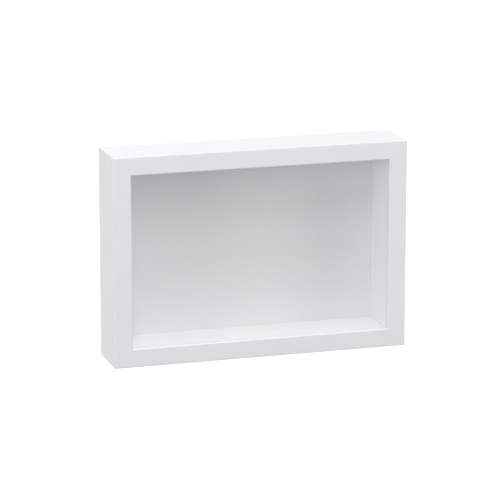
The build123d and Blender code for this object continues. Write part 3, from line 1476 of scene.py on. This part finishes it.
@dataclass
class Hangers:
    """The two sawtooth hangers and their nails."""

    case: Case
    sides: tuple[tuple[str, Side], ...] = (("landscape_hanger", Side.TOP), ("portrait_hanger", Side.LEFT))
    length: float = 46.0
    height: float = 9.0
    sheet: float = 0.8
    rise: float = 1.6
    tab: float = 8.0
    pitch: float = 2.6
    depth: float = 1.6
    teeth: int = 9
    corner: float = 1.5
    point_radius: float = 0.12
    gullet_radius: float = 0.15
    ease: float = 0.1
    bend_steps: int = 6
    nail_radius: float = 0.7
    nail_length: float = 10.0
    nail_from_end: float = 3.6
    nail_head: float = 1.7
    nail_head_height: float = 0.7

    def nail_places(self) -> tuple[float, float]:
        """Where the nails stand along a hanger."""
        out = self.length / 2 - self.nail_from_end
        return -out, out

    def hanger(self, node: str, side: Side) -> bpy.types.Object:
        """Makes one hanger.

        Args:
            node: the CAD node that it stands for.
            side: the rail that it is nailed to.

        Returns:
            The hanger.
        """
        half = self.length / 2
        base = (self.case.wall - self.height) / 2
        edge = base + self.height
        row = self.pitch * self.teeth / 2
        corners: list[tuple[float, float, float]] = [
            (-half, edge, self.corner),
            (-half, base, self.corner),
            (half, base, self.corner),
            (half, edge, self.corner),
        ]
        for n in range(self.teeth):
            x = row - self.pitch * n
            corners.append((x, edge, self.point_radius))
            corners.append((x - self.pitch / 2, edge - self.depth, self.gullet_radius))
        corners.append((-row, edge, self.point_radius))
        nails = [circle(self.nail_radius + 0.03, 20, x, self.case.wall / 2) for x in self.nail_places()]
        front = self.case.rear
        made = Workpiece().plate(rounded(corners), front, front + self.sheet, self.ease, nails)
        foot = half - self.tab
        bends = [foot - self.rise * k / self.bend_steps for k in range(self.bend_steps + 1)]
        made.slice([way * x for x in bends for way in (-1, 1)])

        def bend(point: Vector) -> Vector:
            """Lifts the toothed middle off the rail."""
            lift = self.rise * (1 - smooth_step(abs(point.x), foot - self.rise, foot))
            return Vector((point.x, point.y + lift, point.z))

        made.press(bend)
        made.bm.transform(self.case.at(side))
        return made.piece(f"{node}_pressing", node, Zinc())

    def nails(self) -> bpy.types.Object:
        """Makes the four round-headed nails.

        Returns:
            The four nails, as one piece.
        """
        seat = self.case.rear + self.sheet
        top = seat + self.nail_head_height
        point = self.case.rear - self.nail_length
        shank, head = self.nail_radius, self.nail_head
        dome = ((1.0, 0.06), (1.0, 0.2), (0.94, 0.38), (0.78, 0.54), (0.5, 0.66))
        profile = [(0.0, point), (shank * 0.5, point + shank), (shank, point + 2 * shank)]
        profile += [(shank, seat - 0.1), (shank + 0.1, seat), (head - 0.06, seat)]
        profile += [(head * share, seat + rise) for share, rise in dome]
        profile += [(head * 0.22, top), (0.0, top)]
        places = [
            self.case.at(side) @ Matrix.Translation((x, 0, self.case.wall / 2))
            for _, side in self.sides
            for x in self.nail_places()
        ]
        nail = Workpiece().turn(profile, 24)
        return nail.repeat(places).piece("round_head_nails", "hanger_nails", Steel())

    def build(self) -> None:
        """Makes the hangers and their nails."""
        for node, side in self.sides:
            self.hanger(node, side)
        self.nails()


@dataclass
class Bumpers:
    """The four round rubber bumpers that meet the wall."""

    corners: tuple[str, ...] = ("top_left", "top_right", "bottom_left", "bottom_right")
    radius: float = 5.0
    height: float = 3.5
    ease: float = 0.12
    wall_share: float = 0.45
    crown: Point = (1.3, 1.65)
    crown_steps: int = 8

    def bumper(self, corner: str) -> bpy.types.Object:
        """Makes one bumper.

        Args:
            corner: its corner of the case.

        Returns:
            The bumper.
        """
        low, high = box_mm(f"wall_bumper_{corner}")
        foot = high.y - self.height
        shoulder = foot + self.height * self.wall_share
        inward, rise = self.crown
        profile = [(0.0, foot), (self.radius - self.ease, foot), (self.radius, foot + self.ease)]
        profile.append((self.radius, shoulder))
        for k in range(1, self.crown_steps + 1):
            angle = math.pi / 2 * k / self.crown_steps
            profile.append((self.radius - inward * (1 - math.cos(angle)), shoulder + rise * math.sin(angle)))
        top = ((0.62, 0.12), (0.4, 0.04), (0.2, 0.01), (0.0, 0.0))
        profile += [(self.radius * share, high.y - drop) for share, drop in top]
        made = Workpiece().turn(profile, 48)
        made.bm.transform(Matrix.Translation(((low.x + high.x) / 2, 0, (low.z + high.z) / 2)))
        return made.piece(f"rubber_bumper_{corner}", f"wall_bumper_{corner}", Rubber())

    def build(self) -> None:
        """Makes the four bumpers."""
        for corner in self.corners:
            self.bumper(corner)


# ---------------------------------------------------------------------------------------------------------
# The studio
# ---------------------------------------------------------------------------------------------------------


def outward(azimuth: float, elevation: float) -> Vector:
    """The way out from the case: azimuth 0 is to the front, and 90 to the right."""
    turn, rise = math.radians(azimuth), math.radians(elevation)
    return Vector((math.sin(turn) * math.cos(rise), -math.cos(turn) * math.cos(rise), math.sin(rise)))


def stand(thing: bpy.types.ID, aim: Vector, way: Vector, distance: float) -> bpy.types.Object:
    """Puts a lamp or a camera at a distance from a point, and turns it towards that point.

    Args:
        thing: the light's or the camera's data.
        aim: the point.
        way: the way out from the point, of length 1.
        distance: the distance, in metres.

    Returns:
        The object.
    """
    made = bpy.data.objects.new(thing.name, thing)
    made.location = aim + way * distance
    made.rotation_mode = "QUATERNION"
    made.rotation_quaternion = way.to_track_quat("Z", "Y")
    bpy.context.scene.collection.objects.link(made)
    return made


@dataclass
class Lamp:
    """A soft box: a square light that shines from its place to the case."""

    name: str
    azimuth: float
    elevation: float
    distance: float
    size: float
    radiance: float

    def build(self, aim: Vector) -> None:
        """Makes the light.

        Args:
            aim: the point that it shines at.
        """
        light = bpy.data.lights.new(self.name, "AREA")
        light.shape, light.size = "SQUARE", self.size
        light.energy = self.radiance * math.pi * self.size**2
        stand(light, aim, outward(self.azimuth, self.elevation), self.distance)
        log.info("lamp %s: radiance %.2f", self.name, self.radiance)


@dataclass
class Studio:
    """The pale floor, the light and the camera."""

    sky: Colour = (0.985, 0.99, 1.0)
    sky_strength: float = 0.45
    floor_radius: float = 8.0
    floor_depth: float = 0.0003
    floor_points: int = 64
    floor_colour: Colour = (0.3, 0.3, 0.3)
    floor_glow: float = 0.75
    lamps: tuple[Lamp, ...] = (
        Lamp("overhead_box", 0.0, 73.0, 6.0, 2.4, 7.9),
        Lamp("high_left_box", -20.0, 50.0, 3.0, 0.75, 7.6),
        Lamp("low_left_box", -74.0, 5.0, 3.0, 1.2, 7.7),
        Lamp("front_box", -6.0, 16.0, 3.0, 1.2, 1.85),
        Lamp("right_box", 60.0, 20.0, 3.0, 1.2, 4.7),
        Lamp("far_right_box", 112.0, 10.0, 3.0, 1.2, 2.5),
        Lamp("high_rear_box", 180.0, 60.0, 3.0, 1.5, 2.0),
        Lamp("rear_box", 193.0, 30.0, 3.0, 1.2, 4.2),
    )
    azimuth: float = -16.91
    elevation: float = 13.81
    distance: float = 3.172
    lens: float = 210.6
    sensor: float = 36.0
    aim: Point = (-0.0137, 0.1214)

    def prop(self, name: str, heights: Sequence[float], finish: bpy.types.Material) -> bpy.types.Object:
        """Makes a part of the studio: a disc at one height, or a round wall between two.

        Args:
            name: its name.
            heights: the height of each ring of points.
            finish: its material.

        Returns:
            The object, which is no part of the model.
        """
        made = bmesh.new()
        ring = circle(self.floor_radius, self.floor_points)
        rows = [[made.verts.new((x, y, z)) for x, y in ring] for z in heights]
        if len(rows) == 1:
            made.faces.new(rows[0])
        for low, high in zip(rows, rows[1:]):
            for k in range(len(low)):
                made.faces.new((low[k - 1], low[k], high[k], high[k - 1]))
        mesh = bpy.data.meshes.new(name)
        made.to_mesh(mesh)
        made.free()
        mesh.materials.append(finish)
        obj = bpy.data.objects.new(name, mesh)
        obj.visible_diffuse = False
        bpy.context.scene.collection.objects.link(obj)
        return obj

    def floor(self) -> None:
        """Makes the round floor, and the pale wall round it."""
        bench = Bench("pale_floor")
        tooth = bench.noise(4.0, 2.0)
        shader = bench.principled(
            Base_Color=(*self.floor_colour, 1.0),
            Roughness=0.85 + (tooth - 0.5) * 0.1,
            Specular_IOR_Level=0.0,
            Emission_Color=(1.0, 1.0, 1.0, 1.0),
            Emission_Strength=self.floor_glow,
        )
        finish = bench.done(shader)
        self.prop("studio_floor", [-self.floor_depth], finish)
        wall = self.prop("studio_wall", [-self.floor_depth, self.floor_radius], finish)
        wall.visible_glossy = wall.visible_shadow = False

    def world(self) -> None:
        """Makes the even light all round."""
        world = bpy.data.worlds.new("studio_sky")
        world.use_nodes = True
        sky = world.node_tree.nodes["Background"]
        sky.inputs["Color"].default_value = (*self.sky, 1.0)
        sky.inputs["Strength"].default_value = self.sky_strength
        bpy.context.scene.world = world
        bpy.context.scene.view_settings.view_transform = "Standard"

    def camera(self, aim: Vector) -> None:
        """Makes the camera.

        Args:
            aim: the point that it looks at.
        """
        camera = bpy.data.cameras.new("camera")
        camera.lens, camera.sensor_width = self.lens, self.sensor
        way = outward(self.azimuth, self.elevation)
        bpy.context.scene.camera = stand(camera, aim, way, self.distance)

    def build(self) -> None:
        """Makes the camera, the floor and the light."""
        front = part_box("top_rail")[0].y
        self.camera(Vector((self.aim[0], front, self.aim[1])))
        self.floor()
        self.world()
        low, high = cad_box
        for lamp in self.lamps:
            lamp.build((low + high) / 2)


def main() -> None:
    """Makes everything."""
    logging.basicConfig(level=logging.INFO, format="%(message)s")
    Studio().build()
    case = Case()
    case.build()
    LiningStrips(case).build()
    Sheets().build()
    TurnButtons().build()
    Hangers(case).build()
    Bumpers().build()


if __name__ == "__main__":
    main()
